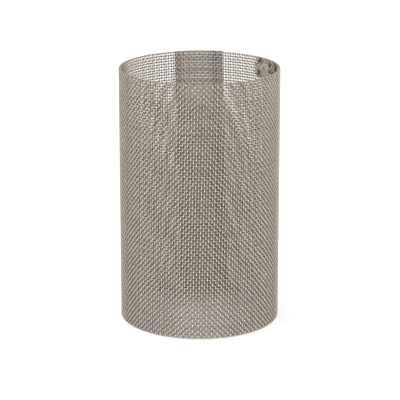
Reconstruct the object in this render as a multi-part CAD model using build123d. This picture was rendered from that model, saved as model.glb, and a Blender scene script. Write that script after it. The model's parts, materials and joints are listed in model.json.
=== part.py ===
"""Filter screen: an open tube rolled from one piece of plain-woven steel wire cloth, with a lap seam.

The cloth is one sheet. It starts at its inner edge, goes once round the bore, steps outwards over
that edge and ends at its outer edge, so the seam is two cloths thick and the bore stays round.
The wires are far finer than a solid model can carry, so the cloth is one wall here: a web one wire
thick, and on it the floats, the short lengths that show where a wire passes over its neighbour.
Each float stands for a few wires side by side. Floats along the tube and floats round it take
turns in both directions, as in the cloth, and the gaps between them are the meshes.

Millimetres. +Z is the tube's axis, z = 0 is the lower rim, and the seam is at the back, +Y.
"""

from build123d import *
from math import cos, degrees, radians, sin
import os

# The cloth: 30 wires to the inch, each 0.36 mm thick
wire_diameter = 0.36
wire_pitch = 0.8467
cloth_thickness = 2.3 * wire_diameter  # the wires along the tube are bent more than those round it

# The tube
inside_diameter = 48.0
height = 79.7
lap_width = 15.2  # how far the two ends of the sheet overlap, along the bore
step_length = 0.9  # along the bore, where the sheet steps outwards over its inner edge
seam_centre = 89.5  # degrees from +X, seen from above

# How the weave is drawn
wires_per_float = 11
float_length = 6.2
float_end_slope = 1.1  # how much shorter a float is at its top, at each end
float_root = 0.1  # how deep a float is set into the web
gap_width = 4.9

# What follows from these
web_thickness = wire_diameter
bore_radius = inside_diameter / 2
web_radius = bore_radius + web_thickness
inner_leaf_radius = bore_radius + cloth_thickness
lap_radius = inner_leaf_radius + web_thickness

lap_angle = degrees(lap_width / bore_radius)
step_angle = degrees(step_length / bore_radius)
inner_edge_angle = seam_centre + lap_angle / 2
outer_edge_angle = seam_centre - lap_angle / 2
wall_angle = 360.0 - lap_angle - step_angle

float_pitch = wires_per_float * wire_pitch
float_width = wires_per_float * wire_diameter
rows = 2 * round((height / float_pitch - 1) / 2) + 1  # an odd number, so floats lie at mid-height
row_pitch = height / rows


def on_circle(radius, angle):
    """The point at this radius and angle, seen from above."""
    return (radius * cos(radians(angle)), radius * sin(radians(angle)))


def rolled_web():
    """The web seen along the axis: a round wall, the step outwards, and two leaves at the seam."""
    wall = CenterArc((0, 0), web_radius, outer_edge_angle, -wall_angle)
    wall_step = Line(wall @ 1, on_circle(lap_radius, inner_edge_angle))
    lap = CenterArc((0, 0), lap_radius, inner_edge_angle, -lap_angle)
    outer_edge = Line(lap @ 1, wall @ 0)
    bore = CenterArc((0, 0), bore_radius, inner_edge_angle, step_angle - 360.0)
    bore_step = Line(bore @ 1, on_circle(inner_leaf_radius, inner_edge_angle))
    inner_edge = Line(bore_step @ 1, bore @ 0)
    return make_face([wall, wall_step, lap, outer_edge]) - make_face([bore, bore_step, inner_edge])


def upright_float(web_face):
    """A float along the tube: a bar with sloping ends, set into the web's outer face."""
    base, top, half = web_face - float_root, web_face + cloth_thickness - web_thickness, float_length / 2
    top_half = half - float_end_slope
    side = Polyline((base, 0, -half), (top, 0, -top_half), (top, 0, top_half), (base, 0, half), close=True)
    return extrude(make_face(side), float_width / 2, both=True)


def round_float(web_face):
    """A float round the tube: a length of ring with sloping ends, set into the web's outer face."""
    base, top = web_face - float_root, web_face + cloth_thickness - web_thickness
    base_angle = degrees(float_length / web_face)
    top_angle = base_angle - degrees(2 * float_end_slope / web_face)
    under = CenterArc((0, 0), base, -base_angle / 2, base_angle)
    over = CenterArc((0, 0), top, top_angle / 2, -top_angle)
    plan = make_face([under, Line(under @ 1, over @ 0), over, Line(over @ 1, under @ 0)])
    return extrude(plan, float_width / 2, both=True)


def weave(start_angle, stretch_angle, web_face):
    """The floats of one stretch of web, and the square gaps where four floats meet."""
    columns = max(1, round(radians(stretch_angle) * web_face / float_pitch))
    column_angle = stretch_angle / columns
    shapes = upright_float(web_face), round_float(web_face)
    block = Box(4 * cloth_thickness, gap_width, gap_width)
    floats = [
        Rot(0, 0, start_angle + (column + 0.5) * column_angle)
        * Pos(0, 0, (row + 0.5) * row_pitch)
        * shapes[(column + row) % 2]
        for column in range(columns)
        for row in range(rows)
    ]
    gaps = [
        Rot(0, 0, start_angle + column * column_angle) * Pos(inner_leaf_radius, 0, row * row_pitch) * block
        for column in range(1, columns)
        for row in range(1, rows)
    ]
    return floats, gaps


def mesh_tube():
    """The whole rolled cloth: the web, with floats and gaps on the lap and on the rest of the wall."""
    lap_floats, lap_gaps = weave(outer_edge_angle, lap_angle, lap_radius)
    wall_floats, wall_gaps = weave(inner_edge_angle + step_angle, wall_angle, web_radius)
    web = extrude(rolled_web(), height)
    return (web + lap_floats + wall_floats) - (lap_gaps + wall_gaps)


os.makedirs("parts", exist_ok=True)
export_step(mesh_tube(), "parts/mesh_tube.step")
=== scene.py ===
"""A filter screen: an open tube of plain-woven stainless wire cloth with a lap seam, on a pale floor."""
import json
from math import pi, radians

import bpy
import numpy as np
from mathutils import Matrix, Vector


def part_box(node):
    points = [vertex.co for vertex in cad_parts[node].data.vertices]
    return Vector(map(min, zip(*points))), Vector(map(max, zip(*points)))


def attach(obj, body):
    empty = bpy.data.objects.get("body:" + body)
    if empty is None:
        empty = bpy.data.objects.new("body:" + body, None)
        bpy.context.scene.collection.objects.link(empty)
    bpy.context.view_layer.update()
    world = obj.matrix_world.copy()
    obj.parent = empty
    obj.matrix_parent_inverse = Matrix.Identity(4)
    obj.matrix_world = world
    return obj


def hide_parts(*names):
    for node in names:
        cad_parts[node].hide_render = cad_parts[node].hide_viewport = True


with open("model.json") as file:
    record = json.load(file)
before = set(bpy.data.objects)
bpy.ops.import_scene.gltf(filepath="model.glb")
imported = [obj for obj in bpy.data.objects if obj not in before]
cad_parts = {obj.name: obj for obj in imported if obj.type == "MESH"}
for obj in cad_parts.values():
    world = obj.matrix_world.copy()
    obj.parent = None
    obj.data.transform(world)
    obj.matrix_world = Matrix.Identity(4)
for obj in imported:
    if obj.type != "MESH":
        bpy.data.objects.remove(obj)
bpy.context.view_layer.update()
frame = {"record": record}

# The camera
# It stands in front of the tube and a little above it, and looks down on it through a long lens.
camera = bpy.data.objects.new("camera", bpy.data.cameras.new("camera"))
bpy.context.collection.objects.link(camera)
camera.location = (0, -0.56337, 0.20123)
camera.rotation_euler = (radians(90 - 16.233), 0, radians(-0.015))
camera.data.lens = 168.94
camera.data.clip_start = 0.01
bpy.context.scene.camera = camera

# The cloth, as it is rolled
# One rectangle of plain-woven wire cloth. It starts at the seam's left edge, goes clockwise once
# round the bore, steps outwards over its own edge and ends at the seam's right edge.
mm = 0.001
wire = 0.36 * mm
upright_bend = 0.65 * wire
round_bend = wire - upright_bend
bore = frame["record"]["mounts"][0]["dims"]["r_mm"] * mm
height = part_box("mesh_tube")[1][2]
wires_per_turn = 181
rows = 91
inner_edge = radians(107.64)
lap = radians(36.29)
step = radians(2.15)
racking = radians(4.4)
climb = 0.23
unevenness = 0.06

pitch_angle = 2 * pi / wires_per_turn
row_pitch = height / rows
upright_count = int((2 * pi + lap) / pitch_angle)
draw = np.random.default_rng(30)
off_place = unevenness * draw.standard_normal(upright_count)
off_level = 0.6 * unevenness * draw.standard_normal(rows)


def leaf_radius(run):
    """The radius of the cloth's middle: half a cloth outside the bore, rising by a cloth in the last step of the first turn."""
    rise = np.clip((run - 2 * pi + step) / step, 0, 1)
    return bore + (upright_bend + wire / 2) * (1 + 2 * rise * rise * (3 - 2 * rise))


def sheet_point(run, z, outwards):
    """A point of the rolled cloth: run is the angle gone round from the inner edge, outwards the distance from the middle."""
    angle = inner_edge - run
    radius = leaf_radius(run) + outwards
    return np.stack([radius * np.cos(angle), radius * np.sin(angle), z + 0 * radius], axis=-1)


def row_level(row, run):
    """The height of a round wire: rows a little uneven, each a fraction of a row higher after a whole turn."""
    return (row + 0.5 + np.interp(row, np.arange(rows), off_level) + climb * (run / (2 * pi) - 0.6)) * row_pitch


def crossing_run(wire_number, z):
    """Where an upright wire stands, as an angle gone round: a little uneven, and leaning with height as the cloth is racked."""
    place = wire_number + 0.5 + np.interp(wire_number, np.arange(upright_count), off_place)
    return place * pitch_angle - racking * (z / height - 0.7)


def seam_edge_darkening(wire_number):
    """How much darker a wire, or a place between wires, is drawn near the lap's two edges, in both leaves: 0.45 near
    the cloth's inner edge, 1 near its outer edge, 0 elsewhere.
    """
    across = (wire_number + 0.5) % wires_per_turn / (upright_count - wires_per_turn)
    return 0.45 * (across < 0.22) + ((across > 0.76) & (across < 1.02))


def tubes(paths, side, sections):
    """Round wires along paths: each point is the path's, plus the wire's radius times the cosine of the turn
    along the first direction and the sine along the second. Returns points and the corners of every face."""
    first, second = side
    turn = np.arange(sections) * 2 * pi / sections
    ring = np.cos(turn)[:, None] * first[:, :, None, :] + np.sin(turn)[:, None] * second[:, :, None, :]
    points = paths[:, :, None, :] + wire / 2 * ring
    count, rings = paths.shape[:2]
    index = np.arange(count * rings * sections).reshape(count, rings, sections)
    here, after = index, np.roll(index, -1, axis=2)
    quads = np.stack([here[:, :-1], here[:, 1:], after[:, 1:], after[:, :-1]], axis=-1).reshape(-1, 4)
    caps = np.concatenate([index[:, 0], index[:, -1, ::-1]])
    return points.reshape(-1, 3), quads, caps


def wire_mesh(name, points, quads, caps, tone_and_shade):
    """A mesh from arrays: four-cornered faces along the wires and one face across each cut end."""
    mesh = bpy.data.meshes.new(name)
    corners = np.concatenate([quads.ravel(), caps.ravel()]).astype(np.int32)
    totals = np.concatenate([np.full(len(quads), 4), np.full(len(caps), caps.shape[1])]).astype(np.int32)
    mesh.vertices.add(len(points))
    mesh.vertices.foreach_set("co", points.astype(np.float32).ravel())
    mesh.loops.add(len(corners))
    mesh.loops.foreach_set("vertex_index", corners)
    mesh.polygons.add(len(totals))
    mesh.polygons.foreach_set("loop_start", np.concatenate([[0], np.cumsum(totals)[:-1]]).astype(np.int32))
    mesh.polygons.foreach_set("use_smooth", np.concatenate([np.ones(len(quads), bool), np.zeros(len(caps), bool)]))
    mesh.update(calc_edges=True)
    mesh.validate()
    mesh.attributes.new("wire_tone_and_shade", "FLOAT", "POINT").data.foreach_set("value", tone_and_shade.astype(np.float32))
    piece = bpy.data.objects.new(name, mesh)
    bpy.context.collection.objects.link(piece)
    return piece


class Socket:
    """A value in a material: arithmetic on it adds the nodes that work it out."""

    def __init__(self, tree, link):
        self.tree, self.link = tree, link

    def node(self, kind, settings=(), out=0, **inputs):
        """Adds a node: its settings first, then the values or links of its inputs, named or numbered as in1."""
        made = self.tree.nodes.new(kind)
        for key, value in dict(settings).items():
            setattr(made, key, value)
        for key, value in inputs.items():
            slot = made.inputs[int(key[2:]) if key[:2] == "in" and key[2:].isdigit() else key.replace("_", " ")]
            if isinstance(value, Socket):
                self.tree.links.new(value.link, slot)
            else:
                slot.default_value = value
        return Socket(self.tree, made.outputs[out]) if made.outputs else None

    def maths(self, operation, one, two=0.0):
        return self.node("ShaderNodeMath", {"operation": operation}, in0=one, in1=two)

    def __add__(self, other):
        return self.maths("ADD", self, other)

    def __mul__(self, other):
        return self.maths("MULTIPLY", self, other)

    def __sub__(self, other):
        return self.maths("SUBTRACT", self, other)

    def __rsub__(self, other):
        return self.maths("SUBTRACT", other, self)

    __radd__, __rmul__ = __add__, __mul__


def new_material(name):
    """An empty material, and a first socket to build on."""
    material = bpy.data.materials.new(name)
    material.use_nodes = True
    tree = material.node_tree
    tree.nodes.clear()
    return material, Socket(tree, None)


# The dirt
# Something has dried in the meshes under the rim on the inner right wall: a smooth grey crust with
# dark specks round it, all drawn dark brown, though one of them is olive. The wires carry the specks too.
dirt_angle = radians(28)
dirt_drop = 3.3 * mm
specks = [(38, 1.4, 1.5), (25.5, 1.7, 1.3), (13, 1.6, 2.2), (26, 3.8, 1.0), (21, 4.1, 1.1), (39.5, 5.4, 1.7), (33, 3.3, 0.65)]


def speckled(build, place):
    """How dark a place is: 1 in the middle of the nearest speck and 0 beyond its edge, broken up by noise."""
    dark = None
    for degrees, drop, reach in specks:
        angle = radians(degrees)
        centre = (bore * np.cos(angle), bore * np.sin(angle), height - drop * mm)
        away = build.node("ShaderNodeVectorMath", {"operation": "DISTANCE"}, out=1, in0=place, in1=centre)
        near = 1.0 - away * (1 / (reach * mm))
        dark = near if dark is None else build.maths("MAXIMUM", dark, near)
    noise = build.node("ShaderNodeTexNoise", Vector=place, Scale=900.0, Detail=2.0)
    return build.maths("MINIMUM", build.maths("MAXIMUM", dark * 2.0 + noise * 2.0 - 1.3, 0.0), 0.85)


def wire_cloth_material():
    """Dull stainless wire: warm grey metal, each wire a little lighter or darker, the round wires darker than the
    upright ones as painted shade, faintly clouded, specked by the dirt.
    """
    material, build = new_material("stainless_wire")
    place = build.node("ShaderNodeTexCoord", out=3)
    tone_and_shade = build.node("ShaderNodeAttribute", {"attribute_name": "wire_tone_and_shade"}, out=2)
    cloud = build.node("ShaderNodeTexNoise", Vector=place, Scale=90.0, Detail=3.0)
    grain = build.node("ShaderNodeTexNoise", Vector=place, Scale=2500.0, Detail=2.0)
    shade = 0.15 * cloud + 0.15 * grain + 0.7 * tone_and_shade
    colour = build.node(
        "ShaderNodeMix", {"data_type": "RGBA"}, out=2,
        in0=shade, in6=(0.115, 0.096, 0.078, 1), in7=(0.52, 0.458, 0.39, 1),
    )
    centre = (bore * np.cos(dirt_angle), bore * np.sin(dirt_angle), height - dirt_drop)
    away = build.node("ShaderNodeVectorMath", {"operation": "DISTANCE"}, out=1, in0=place, in1=centre)
    close = build.maths("GREATER_THAN", 9 * mm, away)
    colour = build.node(
        "ShaderNodeMix", {"data_type": "RGBA"}, out=2,
        in0=speckled(build, place) * close, in6=colour, in7=(0.06, 0.045, 0.035, 1),
    )
    metal = build.node(
        "ShaderNodeBsdfPrincipled", Base_Color=colour, Metallic=0.9, Roughness=0.36 + 0.2 * grain,
    )
    build.node("ShaderNodeOutputMaterial", Surface=metal)
    return material


def dried_dirt_material():
    """Dried dirt: grey-brown and dull, with dark specks."""
    material, build = new_material("dried_dirt")
    place = build.node("ShaderNodeTexCoord", out=3)
    cloud = build.node("ShaderNodeTexNoise", Vector=place, Scale=500.0, Detail=3.0)
    colour = build.node(
        "ShaderNodeMix", {"data_type": "RGBA"}, out=2,
        in0=cloud, in6=(0.40, 0.365, 0.32, 1), in7=(0.19, 0.16, 0.13, 1),
    )
    colour = build.node(
        "ShaderNodeMix", {"data_type": "RGBA"}, out=2,
        in0=speckled(build, place), in6=colour, in7=(0.065, 0.05, 0.035, 1),
    )
    dirt = build.node("ShaderNodeBsdfPrincipled", Base_Color=colour, Roughness=0.85)
    build.node("ShaderNodeOutputMaterial", Surface=dirt)
    return material


stainless_wire = wire_cloth_material()
flat = 0.22

# The upright wires
# Hard-drawn stainless wire, 0.36 mm thick, cut square at both rims. Each lies outside one round
# wire and inside the next, and its neighbour does the opposite.
row_parts = (np.arange(rows)[:, None] + np.array([-flat, flat])).ravel()
row_of_level = np.concatenate([[0], np.repeat(np.arange(rows), 2), [rows - 1]])
upright_groups = np.array_split(np.arange(upright_count), 3)
for number, group in enumerate(upright_groups, 1):
    stand = (group[:, None] + 0.5) * pitch_angle
    levels = np.pad(row_level(row_parts[None, :], stand), ((0, 0), (1, 1)))
    levels[:, -1] = height
    run = crossing_run(group[:, None], levels)
    over = np.where((group[:, None] + row_of_level[None, :]) % 2, -1.0, 1.0)
    over[:, 0], over[:, -1] = 0, 0
    paths = sheet_point(run, levels, upright_bend * over)
    angle = inner_edge - run
    nothing = 0 * angle
    outwards = np.stack([np.cos(angle), np.sin(angle), nothing], axis=-1)
    around = np.stack([-np.sin(angle), np.cos(angle), nothing], axis=-1)
    points, quads, caps = tubes(paths, (outwards, around), 6)
    tone_and_shade = np.repeat(0.62 + 0.26 * draw.random(len(group)) - 0.36 * seam_edge_darkening(group), levels.shape[1] * 6)
    piece = wire_mesh(f"upright_wires_{number}", points, quads, caps, tone_and_shade)
    piece.data.materials.append(stainless_wire)
    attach(piece, "root")
    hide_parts("mesh_tube")

# The round wires
# The same wire, laid across the upright ones and bent round the tube with them. Each goes once
# round and on through the lap, and is cut off at the cloth's two edges.
crossing = (np.arange(upright_count) + 0.5)[:, None] + np.array([-flat, flat])
steps = np.concatenate([[0], crossing.ravel(), [upright_count]])
wire_of_step = np.concatenate([[0], np.repeat(np.arange(upright_count), 2), [upright_count - 1]])
row_groups = np.array_split(np.arange(rows), 3)
for number, group in enumerate(row_groups, 1):
    level = row_level(group[:, None], steps[None, :] * pitch_angle)
    run = crossing_run(steps[None, :] - 0.5, level)
    over = np.where((wire_of_step[None, :] + group[:, None]) % 2, 1.0, -1.0)
    over[:, 0], over[:, -1] = 0, 0
    paths = sheet_point(run, level, round_bend * over)
    angle = inner_edge - run
    outwards = np.stack([np.cos(angle), np.sin(angle), 0 * angle], axis=-1)
    upwards = np.stack([0 * angle, 0 * angle, 1 + 0 * angle], axis=-1)
    points, quads, caps = tubes(paths, (upwards, outwards), 6)
    # Painted shade: the round wires are drawn darker than the upright ones, as they lie deeper in the weave. Each wire
    # also differs a little at random and is drawn darker near the lap's edges.
    tone_and_shade = np.repeat(0.2 + 0.2 * draw.random(len(group))[:, None] - 0.3 * seam_edge_darkening(steps - 0.5), 6)
    piece = wire_mesh(f"round_wires_{number}", points, quads, caps, tone_and_shade)
    piece.data.materials.append(stainless_wire)
    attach(piece, "root")
    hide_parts("mesh_tube")

# The dried dirt
# A crust in the meshes, thickest in the middle, where it hides the wires, and thin towards its
# uneven edge, where they stand out of it.
around, drop = np.meshgrid(np.linspace(-17, 17, 69), np.linspace(0.15, 7.0, 33))
turn = dirt_angle + np.radians(around)
thick = np.clip(1.2 - (np.radians(around - 5) * bore / (2.6 * mm)) ** 2 - ((drop * mm - 4 * mm) / (2.8 * mm)) ** 2, 0, 1)
radius = bore + (upright_bend + wire / 2) * (1 - 0.95 * thick)
points = np.stack([radius * np.cos(turn), radius * np.sin(turn), height - drop * mm], axis=-1).reshape(-1, 3)
index = np.arange(around.size).reshape(around.shape)
quads = np.stack([index[:-1, :-1], index[:-1, 1:], index[1:, 1:], index[1:, :-1]], axis=-1)
edge = np.abs(around / 16.5) ** 3 + np.abs((drop - 3) / 4.2) ** 3
ragged = 0.35 * np.sin(2.1 * around + 5 * drop) * np.sin(0.9 * around - 3 * drop) + 0.3 * draw.random(around.shape)
used, corners = np.unique(quads[(edge + ragged)[:-1, :-1] < 1], return_inverse=True)
crust_mesh = bpy.data.meshes.new("dried_dirt")
crust_mesh.from_pydata(points[used].tolist(), [], corners.reshape(-1, 4).tolist())
crust_mesh.polygons.foreach_set("use_smooth", np.ones(len(crust_mesh.polygons), bool))
crust = bpy.data.objects.new("dried_dirt", crust_mesh)
bpy.context.collection.objects.link(crust)
crust_mesh.materials.append(dried_dirt_material())
crust.modifiers.new("thickness", "SOLIDIFY").thickness = 0.08 * mm
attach(crust, "root")

# The floor
# A pale sweep of paper that the tube stands on. It shows white, and keeps the tube's soft shadow.
# Shade is also painted into it: a soft strip of painted shadow behind the tube, where the paper is not
# lifted and is drawn grey; painted shade darkest at the foot of the back wall; and, inside the tube,
# duller paper with a faint painted glow towards its front.
floor_mesh = bpy.data.meshes.new("floor")
floor_mesh.from_pydata([(-4, -4, 0), (4, -4, 0), (4, 4, 0), (-4, 4, 0)], [], [(0, 1, 2, 3)])
floor = bpy.data.objects.new("floor", floor_mesh)
bpy.context.collection.objects.link(floor)
paper, build = new_material("pale_paper_painted_shade")
ray = build.node("ShaderNodeLightPath", out=0)
glossy = build.node("ShaderNodeLightPath", out=3)
through = build.node("ShaderNodeLightPath", out=6)
seen = build.maths("MAXIMUM", build.maths("MAXIMUM", ray, glossy), through)
lift = build.node("ShaderNodeEmission", Color=(1, 1, 1, 1), Strength=0.22)
place = build.node("ShaderNodeTexCoord", out=3)
sideways = build.node("ShaderNodeSeparateXYZ", out=0, Vector=place)
back = build.node("ShaderNodeSeparateXYZ", out=1, Vector=place)
outside = build.maths("GREATER_THAN", build.node("ShaderNodeVectorMath", {"operation": "LENGTH"}, out=1, in0=place), bore)
# Painted shadow: a strip behind the tube, as wide as the tube seen from the camera, fading at its sides and far end.
aside = build.maths("DIVIDE", build.maths("ABSOLUTE", sideways), 1.0 + back * (1 / 0.563))
beside = build.maths("MAXIMUM", (aside - 0.35 * bore) * (1.6 / bore), 0.0)
beyond = build.maths("MAXIMUM", (back - 0.14) * 4.5, 0.0)
in_front = build.maths("LESS_THAN", back, 0.0)
clear = build.maths("MINIMUM", beside + beyond + in_front, 1.0)
# Painted glow: inside the tube the paper is lifted a little, most towards the front.
from_painted_glow = build.node("ShaderNodeVectorMath", {"operation": "DISTANCE"}, out=1, in0=place, in1=(0, -0.4 * bore, 0))
painted_glow = build.maths("MAXIMUM", 1.0 - from_painted_glow * (1.2 / bore), 0.0)
# Painted shade: the paper is drawn darker towards the foot of the back wall, inside and outside the tube.
from_foot = build.node(
    "ShaderNodeVectorMath", {"operation": "DISTANCE"}, out=1,
    in0=build.node("ShaderNodeTexCoord", out=3), in1=(0, 0.9 * bore, 0),
)
paleness = build.maths("MINIMUM", from_foot * (1.3 / bore), 1.0 - 0.6 * outside * (1.0 - clear))
# The paper's colour: pale, drawn grey in the painted shadow and the painted shade.
paper_with_painted_shade = build.node(
    "ShaderNodeMix", {"data_type": "RGBA"}, out=2, in0=paleness, in6=(0.35, 0.34, 0.33, 1), in7=(0.85, 0.85, 0.85, 1),
)
matt = build.node("ShaderNodeBsdfPrincipled", Base_Color=paper_with_painted_shade, Roughness=0.9)
both = build.node("ShaderNodeAddShader", in0=matt, in1=lift)
lifted = seen * (outside * clear + 0.15 * (1.0 - outside) * painted_glow)
build.node("ShaderNodeOutputMaterial", Surface=build.node("ShaderNodeMixShader", in0=lifted, in1=matt, in2=both))
floor_mesh.materials.append(paper)

# The light
# A soft lamp in front, a little higher than the camera, and a pale surround: white at both sides
# and behind the tube, greyer above it and on the camera's side.
world = bpy.data.worlds.new("surround")
bpy.context.scene.world = world
world.use_nodes = True
world.node_tree.nodes.clear()
build = Socket(world.node_tree, None)
towards = build.node("ShaderNodeTexCoord", out=0)
sideways = build.node("ShaderNodeSeparateXYZ", out=0, Vector=towards)
back = build.maths("MAXIMUM", build.node("ShaderNodeSeparateXYZ", out=1, Vector=towards), 0.0)
surround = 0.42 + 1.15 * sideways * sideways + 0.55 * back * back - 0.18 * sideways
soft = build.node("ShaderNodeBackground", Color=surround, Strength=1.0)
build.node("ShaderNodeOutputWorld", Surface=soft)

lamp = bpy.data.objects.new("soft_lamp", bpy.data.lights.new("soft_lamp", "SUN"))
bpy.context.collection.objects.link(lamp)
lamp.data.angle = radians(7)
lamp.data.energy = 3.25
lamp.rotation_euler = (radians(90 - 21), 0, 0)

bpy.context.scene.view_settings.view_transform = "Standard"
